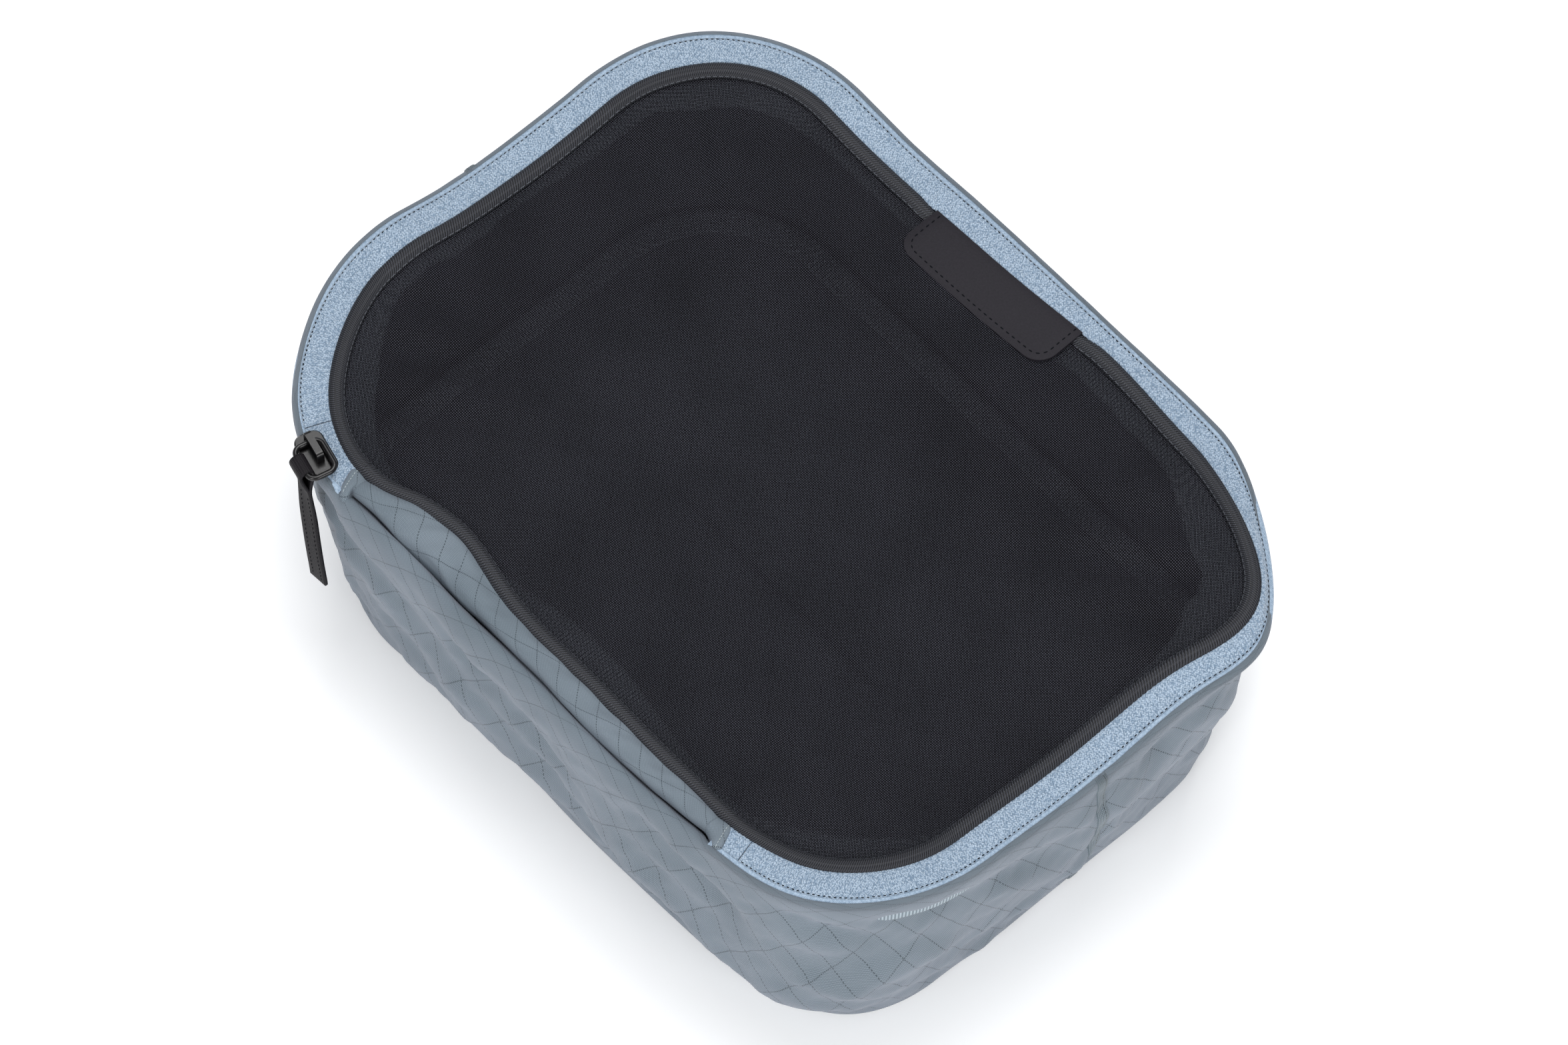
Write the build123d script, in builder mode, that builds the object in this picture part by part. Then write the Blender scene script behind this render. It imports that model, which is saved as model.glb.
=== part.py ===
"""Soft packing cube with a see-through mesh lid.

The cube stands on its bottom panel. X runs along the long side, Y along the short side and Z up.
The origin is the centre of the bottom panel's underside. The lid folds back over the front (-Y)
long side; the zip runs round the other three sides, from the front left corner to the front right.

Every rim piece is a band that follows the same rounded rectangle. A band is given by its two
insets, measured inwards from the outer face of the wall, and by the heights between which it lies.
"""

from build123d import *

import os
from math import cos, radians, sin

# ---------------------------------------------------------------- driving dimensions, millimetres
LENGTH = 260.0
WIDTH = 196.5
CORNER = 56.0
WALL = 1.2
GAP = 0.3

# Wall heights and how far the wall stands in from the rim at each of them.
WALL_HEIGHTS = (0.0, 6.0, 60.0, 76.3)
WALL_INSETS = (10.5, 6.5, 0.0, 0.0)
RIM_Z = WALL_HEIGHTS[-1]

# Seam bindings inside, and the lapped seams outside the two short sides.
BOTTOM_BINDING = (12.6, 20.6)
BOTTOM_BINDING_Z = (1.2, 2.2)
RIM_BINDING = (1.2, 2.7)
RIM_BINDING_Z = (64.0, 74.2)
SEAM_WIDE = 2.2
SEAM_THICK = 0.5

# The zip chain: the tapes lie flat on the rim and the coils hang under them.
PART_LINE = 3.0
PART_GAP = 1.1
UPPER_EDGE = PART_LINE + PART_GAP / 2
LOWER_EDGE = PART_LINE - PART_GAP / 2
TAPE_Z = (77.9, 78.6)
TAPE_INNER = 11.2
TAPE_LEG = 0.7
COIL_Z = (76.3, 77.9)
COIL_WIDE = 1.45
STITCH_INSET = 4.4
STITCH_PITCH = 6.0

# The lid's rolled mesh edge, the binding sewn under it and the mesh inside it.
ROLL = (11.2, 15.7)
ROLL_Z = (76.6, 78.6)
LID_BINDING = (12.0, 19.0)
LID_BINDING_Z = (75.6, 76.6)
MESH_Z = (77.4, 78.0)

# The hinge: a straight strip of the front side between the two zip ends.
HINGE_HALF = 71.5
HINGE_SEAM_Z = 66.0
HINGE_LEG_TOP = 77.6
HINGE_LIP = 0.4
CAP_WIDE = 5.0
CAP_THICK = 0.7

# Front corner centres, and turns round them in degrees, counted from the front side.
CORNER_X = LENGTH / 2 - CORNER
CORNER_Y = -(WIDTH / 2 - CORNER)
REACH = 2 * CORNER
LEFT_FIXED = 23.5
RIGHT_FIXED = 11.5
OPENING_GAP = 0.5
STOP_TURNS = (2.6, 4.8)
COIL_START = 5.2

# Slider and pull, in the slider's own frame: x along the zip, y towards the lid, z up.
SLIDER_TURN = 13.5
SLIDER_LONG = 14.5
SLIDER_WIDE = 8.5
LOWER_OUTSIDE = 1.5
PLATE = 1.3
UPPER_PLATE_Z = 79.0
LOWER_PLATE_Z = 74.5
POST = (0.7, 2.0)
POST_X = 5.2
BRIDGE = (-5.6, 3.4)
BRIDGE_WIDE = 2.0
BRIDGE_BAR = 1.2
BRIDGE_TOP = 84.2
WIRE = 0.8
RING_Z = 81.7
RING_START = -3.2
RING_SIZE = (11.2, 8.2)
RING_SHIFT = -1.5
RING_CORNER = 2.4
STRAP_WIDE = 6.5
STRAP_PLY = 0.8
STRAP_EYE = 1.0
STRAP_DROP = 49.0
STRAP_SLANT = 3.0
STRAP_STITCHES = 11

# Label patch on the back of the lid.
PATCH_SIZE = (57.0, 16.0)
PATCH_CORNER = 6.0
PATCH_X = -1.5
PATCH_THICK = 0.9
THREAD = 0.3
STITCH_LONG = 2.0

os.makedirs("parts", exist_ok=True)


def keep(builder, name):
    """Label a finished piece and write it out."""
    builder.part.label = name
    export_step(builder.part, f"parts/{name}.step")


def rim_shape(inset, mode=Mode.ADD):
    """The rounded rectangle of the rim, moved in from the wall's outer face."""
    RectangleRounded(LENGTH - 2 * inset, WIDTH - 2 * inset, CORNER - inset, mode=mode)


def band(outer, inner, low, high):
    """A closed band between two insets and two heights."""
    with BuildPart() as ring:
        with BuildSketch(Plane.XY.offset(low)):
            rim_shape(outer)
            rim_shape(inner, Mode.SUBTRACT)
        extrude(amount=high - low)
    return ring.part


def wall_body(extra):
    """The solid inside the cube's outer face, moved in by extra."""
    with BuildPart() as body:
        for height, inset in zip(WALL_HEIGHTS, WALL_INSETS):
            with BuildSketch(Plane.XY.offset(height)):
                rim_shape(inset + extra)
        loft(ruled=True)
    return body.part


def column(points):
    """A tall prism over an outline, to cut the rim pieces with."""
    with BuildPart() as prism:
        with BuildSketch():
            with BuildLine():
                Polyline(*points, close=True)
            make_face()
        extrude(amount=2 * RIM_Z)
    return prism.part


def corner_point(side, turn, reach=REACH):
    """A point that far from a front corner's centre, turned from the front side round it."""
    angle = radians(turn)
    return (side * (CORNER_X + reach * sin(angle)), CORNER_Y - reach * cos(angle))


def front_zone(left_turn, right_turn):
    """The front of the rim, from one turn round the left corner to one round the right."""
    return column(
        (
            (-CORNER_X, CORNER_Y),
            corner_point(-1, left_turn),
            corner_point(1, right_turn),
            (CORNER_X, CORNER_Y),
        )
    )


def corner_wedge(side, first_turn, last_turn):
    """The part of a front corner between two turns round its centre."""
    centre = (side * CORNER_X, CORNER_Y)
    return column((centre, corner_point(side, first_turn), corner_point(side, last_turn)))


def end_zone(side, last_turn):
    """A front corner up to a turn, with the short straight stretch beside the hinge strip."""
    edge = side * (HINGE_HALF + GAP)
    return column(
        (
            (edge, CORNER_Y),
            (edge, CORNER_Y - REACH),
            corner_point(side, 0),
            corner_point(side, last_turn),
            (side * CORNER_X, CORNER_Y),
        )
    )


def front_block(half, low, high, outer, inner):
    """A straight strip along the front side, between two insets."""
    with BuildPart() as strip:
        with BuildSketch(Plane.XY.offset(low)):
            with Locations((0, -WIDTH / 2 + (outer + inner) / 2)):
                Rectangle(2 * half, inner - outer)
        extrude(amount=high - low)
    return strip.part


# ---------------------------------------------------------------- body: panels and seams
with BuildPart() as bottom_panel:
    with BuildSketch():
        rim_shape(WALL_INSETS[0] + WALL)
    extrude(amount=WALL)
keep(bottom_panel, "bottom_panel")

with BuildPart() as bottom_seam_binding:
    add(band(*BOTTOM_BINDING, *BOTTOM_BINDING_Z))
keep(bottom_seam_binding, "bottom_seam_binding")

wall_outer = wall_body(0)
wall_inner = wall_body(WALL)
hinge_cut = front_block(HINGE_HALF + GAP, HINGE_SEAM_Z, RIM_Z + WALL, -WALL, 2 * WALL)
for name, side in (("gusset_front", -1), ("gusset_back", 1)):
    with BuildPart() as gusset:
        add(wall_outer)
        add(wall_inner, mode=Mode.SUBTRACT)
        split(bisect_by=Plane.XZ, keep=Keep.TOP if side < 0 else Keep.BOTTOM)
        if side < 0:
            add(hinge_cut, mode=Mode.SUBTRACT)
    keep(gusset, name)

wall_lapped = wall_body(-SEAM_THICK)
for name, side in (("side_seam_left", -1), ("side_seam_right", 1)):
    with BuildPart() as side_seam:
        with BuildSketch():
            with Locations((side * LENGTH / 2, 0)):
                Rectangle(LENGTH / 2, SEAM_WIDE)
        extrude(amount=RIM_Z)
        add(wall_lapped, mode=Mode.INTERSECT)
        add(wall_outer, mode=Mode.SUBTRACT)
    keep(side_seam, name)

with BuildPart() as rim_seam_binding:
    add(band(*RIM_BINDING, *RIM_BINDING_Z))
keep(rim_seam_binding, "rim_seam_binding")

# ---------------------------------------------------------------- body: lower half of the zip
with BuildPart() as zip_tape_lower:
    add(band(0, LOWER_EDGE, *TAPE_Z))
    add(band(0, TAPE_LEG, RIM_Z, TAPE_Z[0]))
    add(front_block(HINGE_HALF + GAP, 0, 2 * RIM_Z, -WALL, PART_LINE), mode=Mode.SUBTRACT)
keep(zip_tape_lower, "zip_tape_lower")

with BuildPart() as zip_coil_lower:
    add(band(LOWER_EDGE - COIL_WIDE, LOWER_EDGE, *COIL_Z))
    add(front_zone(COIL_START, COIL_START), mode=Mode.SUBTRACT)
keep(zip_coil_lower, "zip_coil_lower")

# The last stretches of the upper tape and coil stay joined to the wall at the zip's two ends.
for word, side, turn in (("left", -1, LEFT_FIXED), ("right", 1, RIGHT_FIXED)):
    with BuildPart() as tape_end:
        add(band(UPPER_EDGE, TAPE_INNER - GAP, *TAPE_Z))
        add(end_zone(side, turn), mode=Mode.INTERSECT)
    keep(tape_end, f"zip_tape_end_{word}")

    with BuildPart() as coil_end:
        add(band(UPPER_EDGE, UPPER_EDGE + COIL_WIDE, *COIL_Z))
        add(corner_wedge(side, COIL_START, turn), mode=Mode.INTERSECT)
    keep(coil_end, f"zip_coil_end_{word}")

with BuildPart() as zip_end_stops:
    for side in (-1, 1):
        add(
            band(LOWER_EDGE - COIL_WIDE, LOWER_EDGE, *COIL_Z)
            & corner_wedge(side, *STOP_TURNS)
        )
        add(
            band(UPPER_EDGE, UPPER_EDGE + COIL_WIDE, *COIL_Z)
            & corner_wedge(side, *STOP_TURNS)
        )
keep(zip_end_stops, "zip_end_stops")

# ---------------------------------------------------------------- body: hinge strip and its ends
with BuildPart() as hinge_strip_lower:
    add(front_block(HINGE_HALF, HINGE_SEAM_Z, HINGE_LEG_TOP, 0, WALL))
keep(hinge_strip_lower, "hinge_strip_lower")

cap_centre = HINGE_HALF + GAP + CAP_WIDE / 2
cap_depth = TAPE_INNER - 2 * GAP
for word, side in (("left", -1), ("right", 1)):
    with BuildPart() as end_cap:
        with BuildSketch(Plane.XY.offset(TAPE_Z[1])):
            with Locations((side * cap_centre, -WIDTH / 2 + GAP + cap_depth / 2)):
                Rectangle(CAP_WIDE, cap_depth)
        extrude(amount=CAP_THICK)
    keep(end_cap, f"hinge_end_cap_{word}")

with BuildPart() as hinge_cap_stitching:
    with BuildSketch(Plane.XY.offset(TAPE_Z[1] + CAP_THICK)):
        for side in (-1, 1):
            with Locations((side * cap_centre, -WIDTH / 2 + GAP + cap_depth / 2)):
                with GridLocations(0, 3, 1, 3):
                    Rectangle(THREAD, STITCH_LONG)
    extrude(amount=THREAD)
keep(hinge_cap_stitching, "hinge_cap_stitching")

# ---------------------------------------------------------------- lid
lid_front = front_zone(LEFT_FIXED + OPENING_GAP, RIGHT_FIXED + OPENING_GAP)

with BuildPart() as mesh_panel:
    with BuildSketch(Plane.XY.offset(MESH_Z[0])):
        rim_shape(ROLL[1])
    extrude(amount=MESH_Z[1] - MESH_Z[0])
keep(mesh_panel, "mesh_panel")

with BuildPart() as lid_edge_roll:
    add(band(*ROLL, *ROLL_Z))
keep(lid_edge_roll, "lid_edge_roll")

with BuildPart() as lid_seam_binding:
    add(band(*LID_BINDING, *LID_BINDING_Z))
keep(lid_seam_binding, "lid_seam_binding")

with BuildPart() as zip_tape_upper:
    add(band(UPPER_EDGE, TAPE_INNER, *TAPE_Z))
    add(lid_front, mode=Mode.SUBTRACT)
keep(zip_tape_upper, "zip_tape_upper")

with BuildPart() as zip_coil_upper:
    add(band(UPPER_EDGE, UPPER_EDGE + COIL_WIDE, *COIL_Z))
    add(lid_front, mode=Mode.SUBTRACT)
keep(zip_coil_upper, "zip_coil_upper")

# Stitches that hold the coil to the tape, as raised dashes along the three straight sides.
with BuildPart() as zip_stitching:
    with BuildSketch(Plane.XY.offset(TAPE_Z[1])):
        straight = LENGTH - 2 * CORNER
        with Locations((0, WIDTH / 2 - STITCH_INSET)):
            with GridLocations(STITCH_PITCH, 0, int(straight // STITCH_PITCH), 1):
                Rectangle(STITCH_LONG, THREAD)
        straight = WIDTH - 2 * CORNER
        for side in (-1, 1):
            with Locations((side * (LENGTH / 2 - STITCH_INSET), 0)):
                with GridLocations(0, STITCH_PITCH, 1, int(straight // STITCH_PITCH)):
                    Rectangle(THREAD, STITCH_LONG)
    extrude(amount=THREAD / 2)
keep(zip_stitching, "zip_stitching")

with BuildPart() as hinge_strip_upper:
    add(front_block(HINGE_HALF, *TAPE_Z, HINGE_LIP, TAPE_INNER))
keep(hinge_strip_upper, "hinge_strip_upper")

patch_y = WIDTH / 2 - TAPE_INNER - PATCH_SIZE[1] / 2
with BuildPart() as label_patch:
    with BuildSketch(Plane.XY.offset(ROLL_Z[1])) as patch_outline:
        with Locations((PATCH_X, patch_y)):
            Rectangle(*PATCH_SIZE)
        fillet(patch_outline.vertices().group_by(Axis.Y)[0], PATCH_CORNER)
    extrude(amount=PATCH_THICK)
keep(label_patch, "label_patch")

with BuildPart() as patch_stitching:
    with BuildSketch(Plane.XY.offset(ROLL_Z[1] + PATCH_THICK)):
        edge = STITCH_LONG
        with Locations((PATCH_X, patch_y - PATCH_SIZE[1] / 2 + edge)):
            with GridLocations(2 * STITCH_LONG, 0, 10, 1):
                Rectangle(STITCH_LONG, THREAD)
        for side in (-1, 1):
            with Locations((PATCH_X + side * (PATCH_SIZE[0] / 2 - edge), patch_y + edge)):
                with GridLocations(0, 2 * STITCH_LONG, 1, 2):
                    Rectangle(THREAD, STITCH_LONG)
    extrude(amount=THREAD / 2)
keep(patch_stitching, "patch_stitching")

# ---------------------------------------------------------------- slider
slider_spot = corner_point(-1, SLIDER_TURN, CORNER - PART_LINE)
along = Vector(cos(radians(SLIDER_TURN)), -sin(radians(SLIDER_TURN)), 0)


def slider_plane(height, x=0.0, y=0.0):
    """A level plane in the slider's frame, with its origin at x, y and a height."""
    level = Plane(origin=(*slider_spot, height), x_dir=along, z_dir=(0, 0, 1))
    return Plane(origin=level.from_local_coords((x, y, 0)), x_dir=along, z_dir=(0, 0, 1))


with BuildPart() as slider_body:
    with BuildSketch(slider_plane(UPPER_PLATE_Z)):
        RectangleRounded(SLIDER_LONG, SLIDER_WIDE, SLIDER_WIDE / 3)
    extrude(amount=PLATE)
    chamfer(slider_body.faces().sort_by(Axis.Z)[-1].edges(), PLATE / 3)
    lower_wide = SLIDER_WIDE / 2 + LOWER_OUTSIDE
    with BuildSketch(slider_plane(LOWER_PLATE_Z, 0, SLIDER_WIDE / 2 - lower_wide / 2)):
        RectangleRounded(SLIDER_LONG, lower_wide, SLIDER_WIDE / 4)
    extrude(amount=PLATE)
    post_bow = POST_X**2 / (2 * (CORNER - PART_LINE))
    with BuildSketch(slider_plane(LOWER_PLATE_Z + PLATE / 2, POST_X, post_bow)):
        SlotOverall(POST[1], POST[0])
    extrude(amount=UPPER_PLATE_Z - LOWER_PLATE_Z)
keep(slider_body, "slider_body")

upper_top = UPPER_PLATE_Z + PLATE
side_view = Plane(
    origin=slider_plane(0, 0, BRIDGE_WIDE / 2).origin,
    x_dir=along,
    z_dir=along.cross(Vector(0, 0, 1)),
)
bridge_long = BRIDGE[1] - BRIDGE[0]
bridge_high = BRIDGE_TOP - upper_top
with BuildPart() as slider_bridge:
    with BuildSketch(side_view) as arch:
        with Locations(((BRIDGE[0] + BRIDGE[1]) / 2, upper_top + bridge_high / 2)):
            Rectangle(bridge_long, bridge_high)
        fillet(arch.vertices().group_by(Axis.Y)[-1], BRIDGE_BAR)
        with Locations(((BRIDGE[0] + BRIDGE[1]) / 2, upper_top + (bridge_high - BRIDGE_BAR) / 2)):
            Rectangle(
                bridge_long - 2 * BRIDGE_BAR, bridge_high - BRIDGE_BAR, mode=Mode.SUBTRACT
            )
    extrude(amount=BRIDGE_WIDE)
keep(slider_bridge, "slider_bridge")

# ---------------------------------------------------------------- pull ring and strap
ring_middle = RING_START + RING_SIZE[0] / 2
with BuildPart() as pull_ring:
    with BuildSketch(slider_plane(RING_Z, ring_middle, RING_SHIFT), mode=Mode.PRIVATE) as ring_line:
        RectangleRounded(*RING_SIZE, RING_CORNER)
    ring_path = ring_line.sketch.faces()[0].outer_wire()
    start = ring_path @ 0
    with BuildSketch(Plane(origin=start, z_dir=ring_path % 0)):
        Circle(WIRE)
    sweep(path=ring_path)
keep(pull_ring, "pull_ring")

strap_y = RING_SHIFT - RING_SIZE[1] / 2
strap_plane = Plane(
    origin=slider_plane(RING_Z, ring_middle - STRAP_WIDE / 2, strap_y).origin,
    x_dir=slider_plane(0).y_dir,
    z_dir=along,
)
with BuildPart() as pull_strap:
    with BuildSketch(strap_plane):
        Circle(STRAP_EYE + STRAP_PLY)
        with Locations((0, -STRAP_DROP / 2)):
            Rectangle(2 * STRAP_PLY, STRAP_DROP)
        Circle(STRAP_EYE, mode=Mode.SUBTRACT)
    extrude(amount=STRAP_WIDE)
    strap_end = pull_strap.faces().sort_by(Axis.Z)[0].edges().sort_by(
        lambda edge: (edge.center() - slider_plane(0).origin).dot(along)
    )
    chamfer(strap_end[-1], STRAP_SLANT, STRAP_WIDE - STRAP_PLY / 2)
keep(pull_strap, "pull_strap")

with BuildPart() as strap_stitching:
    outer_face = Plane(
        origin=slider_plane(RING_Z, ring_middle, strap_y - STRAP_PLY).origin,
        x_dir=along,
        z_dir=-slider_plane(0).y_dir,
    )
    with BuildSketch(outer_face):
        with Locations((0, -(STRAP_DROP + STRAP_EYE) / 2)):
            with GridLocations(STRAP_WIDE / 2, 2 * THREAD + STITCH_LONG, 2, STRAP_STITCHES):
                Rectangle(THREAD, STITCH_LONG)
    extrude(amount=THREAD / 2)
keep(strap_stitching, "strap_stitching")
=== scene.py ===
"""Soft packing cube with a see-through mesh lid, standing on a pale floor.

Lengths are metres in the part's own frame: X along the long side, Y along the short side, Z up.
The lid folds back over the front (-Y) side, and the zip closes the other three.
"""

from math import ceil, copysign, cos, exp, pi, radians, sin, tau

import bmesh
import bpy
from mathutils import Matrix, Vector, noise


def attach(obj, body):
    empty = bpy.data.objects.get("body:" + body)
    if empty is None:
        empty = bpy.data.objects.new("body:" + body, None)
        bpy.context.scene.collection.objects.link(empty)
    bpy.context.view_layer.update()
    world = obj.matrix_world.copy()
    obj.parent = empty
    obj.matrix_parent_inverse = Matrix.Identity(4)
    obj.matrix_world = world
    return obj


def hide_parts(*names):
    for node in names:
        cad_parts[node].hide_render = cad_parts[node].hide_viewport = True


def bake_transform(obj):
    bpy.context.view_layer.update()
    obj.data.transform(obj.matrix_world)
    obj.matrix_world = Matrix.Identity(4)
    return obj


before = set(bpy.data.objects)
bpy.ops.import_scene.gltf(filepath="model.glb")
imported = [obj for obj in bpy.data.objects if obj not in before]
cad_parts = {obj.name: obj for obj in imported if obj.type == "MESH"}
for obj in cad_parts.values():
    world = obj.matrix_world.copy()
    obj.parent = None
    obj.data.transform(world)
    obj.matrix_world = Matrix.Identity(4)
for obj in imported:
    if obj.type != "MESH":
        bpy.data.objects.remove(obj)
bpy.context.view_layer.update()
scene = bpy.context.scene

# ---------------------------------------------------------------- camera
# A long lens from high over the front right corner, looking down at the lid, so that the
# lid, the front side and the right side are all in view.
AIM = Vector((0.0158, -0.01225, 0.0788))
AZIMUTH, ELEVATION = radians(47.9), radians(61.1)
DISTANCE, LENS = 2.0, 167.3

away = Vector((sin(AZIMUTH) * cos(ELEVATION), -cos(AZIMUTH) * cos(ELEVATION), sin(ELEVATION)))
camera = bpy.data.objects.new("camera", bpy.data.cameras.new("camera"))
camera.data.lens = LENS
camera.data.clip_start, camera.data.clip_end = 0.05, 20
camera.location = AIM + DISTANCE * away
camera.rotation_euler = (-away).to_track_quat("-Z", "Y").to_euler()
scene.collection.objects.link(camera)
scene.camera = camera
scene.view_settings.view_transform = "Standard"

# ---------------------------------------------------------------- light and floor
# A white table under a broad soft light from above, with pale walls all round. Two smaller
# lamps at the front and the right keep the shaded sides soft.
SKY_COLOUR, SKY_STRENGTH = (0.96, 0.97, 1.0, 1), 0.46
LAMPS = (
    ("top_light", (-0.25, 0.35, 1.5), 0.9, 15.0),
    ("front_light", (0.45, -1.25, 0.80), 0.5, 8.5),
    ("right_light", (1.35, -0.15, 0.70), 0.5, 6.0),
)
FLOOR_HALF = 3.0

sky = bpy.data.worlds.new("sky")
sky.use_nodes = True
sky.node_tree.nodes["Background"].inputs["Color"].default_value = SKY_COLOUR
sky.node_tree.nodes["Background"].inputs["Strength"].default_value = SKY_STRENGTH
scene.world = sky
for lamp_name, lamp_place, lamp_size, lamp_power in LAMPS:
    lamp = bpy.data.objects.new(lamp_name, bpy.data.lights.new(lamp_name, "AREA"))
    lamp.data.size, lamp.data.energy = lamp_size, lamp_power
    lamp.location = lamp_place
    lamp.rotation_euler = (-Vector(lamp_place)).to_track_quat("-Z", "Y").to_euler()
    scene.collection.objects.link(lamp)


class Finish:
    """A material put together node by node, on one Principled shader."""

    def __init__(self, name, **sockets):
        self.material = bpy.data.materials.new(name)
        self.material.use_nodes = True
        self.nodes = self.material.node_tree.nodes
        self.shader = self.nodes["Principled BSDF"]
        self.set(self.shader, sockets)

    def set(self, node, sockets):
        for socket, value in sockets.items():
            socket = socket.replace("_", " ") if isinstance(socket, str) else socket
            if isinstance(value, bpy.types.NodeSocket):
                self.material.node_tree.links.new(value, node.inputs[socket])
            else:
                node.inputs[socket].default_value = value

    def add(self, kind, sockets, output=0, **settings):
        node = self.nodes.new("ShaderNode" + kind)
        for setting, value in settings.items():
            setattr(node, setting, value)
        self.set(node, sockets)
        return node.outputs[output]

    def calc(self, operation, first, second=0.0, third=0.0):
        return self.add("Math", {0: first, 1: second, 2: third}, operation=operation)

    def axes(self, where):
        """The three axes of the Object coordinates or of the flat cloth's UV map."""
        place = self.add("TexCoord", {}, where)
        split = self.nodes.new("ShaderNodeSeparateXYZ")
        self.set(split, {0: place})
        return split.outputs

    def wave(self, value, pitch, shift=0.0):
        """A smooth wave from 0 to 1 with that pitch along a value."""
        turns = self.calc("MULTIPLY_ADD", value, tau / pitch, shift)
        return self.calc("MULTIPLY_ADD", self.calc("SINE", turns), 0.5, 0.5)

    def grain(self, scale, detail=2.0, where="Object", output="Fac"):
        """Soft noise, with that many lumps to the metre."""
        place = self.add("TexCoord", {}, where)
        return self.add("TexNoise", {"Vector": place, "Scale": scale, "Detail": detail}, output)

    def mix(self, share, low, high):
        """A colour between two, by a share."""
        return self.add("Mix", {0: share, 6: low, 7: high}, 2, data_type="RGBA")

    def colour(self, socket):
        self.set(self.shader, {"Base Color": socket})

    def bump(self, height, depth, strength=1.0):
        """Raises the surface where height is 1, by that depth."""
        up = self.add("Bump", {"Height": height, "Distance": depth, "Strength": strength})
        self.set(self.shader, {"Normal": up})


floor_mesh = bmesh.new()
bmesh.ops.create_grid(floor_mesh, x_segments=4, y_segments=4, size=FLOOR_HALF)
floor_data = bpy.data.meshes.new("floor")
floor_mesh.to_mesh(floor_data)
floor_mesh.free()
floor = bpy.data.objects.new("floor", floor_data)
scene.collection.objects.link(floor)
white_top = Finish("white_table", Roughness=0.7, Emission_Strength=0.18)
white_top.shader.inputs["Emission Color"].default_value = (1, 1, 1, 1)
white_top.colour(white_top.mix(white_top.grain(3.0), (0.93, 0.935, 0.94, 1), (0.95, 0.95, 0.95, 1)))
floor_data.materials.append(white_top.material)

# ---------------------------------------------------------------- bottom panel
# A rounded rectangle of coated ripstop cloth, cut flat and sewn to the foot of the wall.
# The cube's own shape starts here: the line of its rim, and how its soft sides give.
LENGTH, WIDTH, CORNER = 0.260, 0.1965, 0.056
STRAIGHTS = (LENGTH - 2 * CORNER, WIDTH - 2 * CORNER)
ARC = CORNER * pi / 2
ROUND = 2 * sum(STRAIGHTS) + 4 * ARC
MID_RIGHT = STRAIGHTS[0] + ARC + STRAIGHTS[1] / 2
MID_LEFT = MID_RIGHT + STRAIGHTS[1] + STRAIGHTS[0] + 2 * ARC
DIP, LIFT = 0.0043, 0.0024
CLOTH_COLOURS = ((0.066, 0.098, 0.118, 1), (0.240, 0.284, 0.334, 1))
CLOTH_THREAD = (0.020, 0.036, 0.046, 1)


def ease(value, low, high):
    """0 at low, 1 at high, and smooth between."""
    share = max(0.0, min(1.0, (value - low) / (high - low)))
    return share * share * (3 - 2 * share)


def hump(value, middle, wide):
    return exp(-(((value - middle) / wide) ** 2))


def bow(x):
    """How far the hinge side of the lid bows inwards, between the two ends of the zip."""
    free = 1 - ease(abs(x), 0.056, 0.0715)
    inwards = 0.0052 * hump(x, -0.042, 0.022) + 0.0008 * hump(x, 0.026, 0.030)
    return free * inwards - 0.0014 * hump(abs(x), 0.074, 0.014)


def rim_spot(along, inset):
    """A point so far along the rim from the front left corner, moved in, and the way out."""
    left = along % ROUND
    turn, foot = -pi / 2, Vector((-STRAIGHTS[0] / 2, -STRAIGHTS[1] / 2, 0))
    for straight in STRAIGHTS * 2:
        run = min(left, straight)
        foot += run * Vector((-sin(turn), cos(turn), 0))
        bend = min(left - run, ARC)
        turn += bend / CORNER
        left -= run + bend
        if left <= 0:
            break
    out = Vector((cos(turn), sin(turn), 0))
    return foot + (CORNER - inset) * out, out


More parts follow.
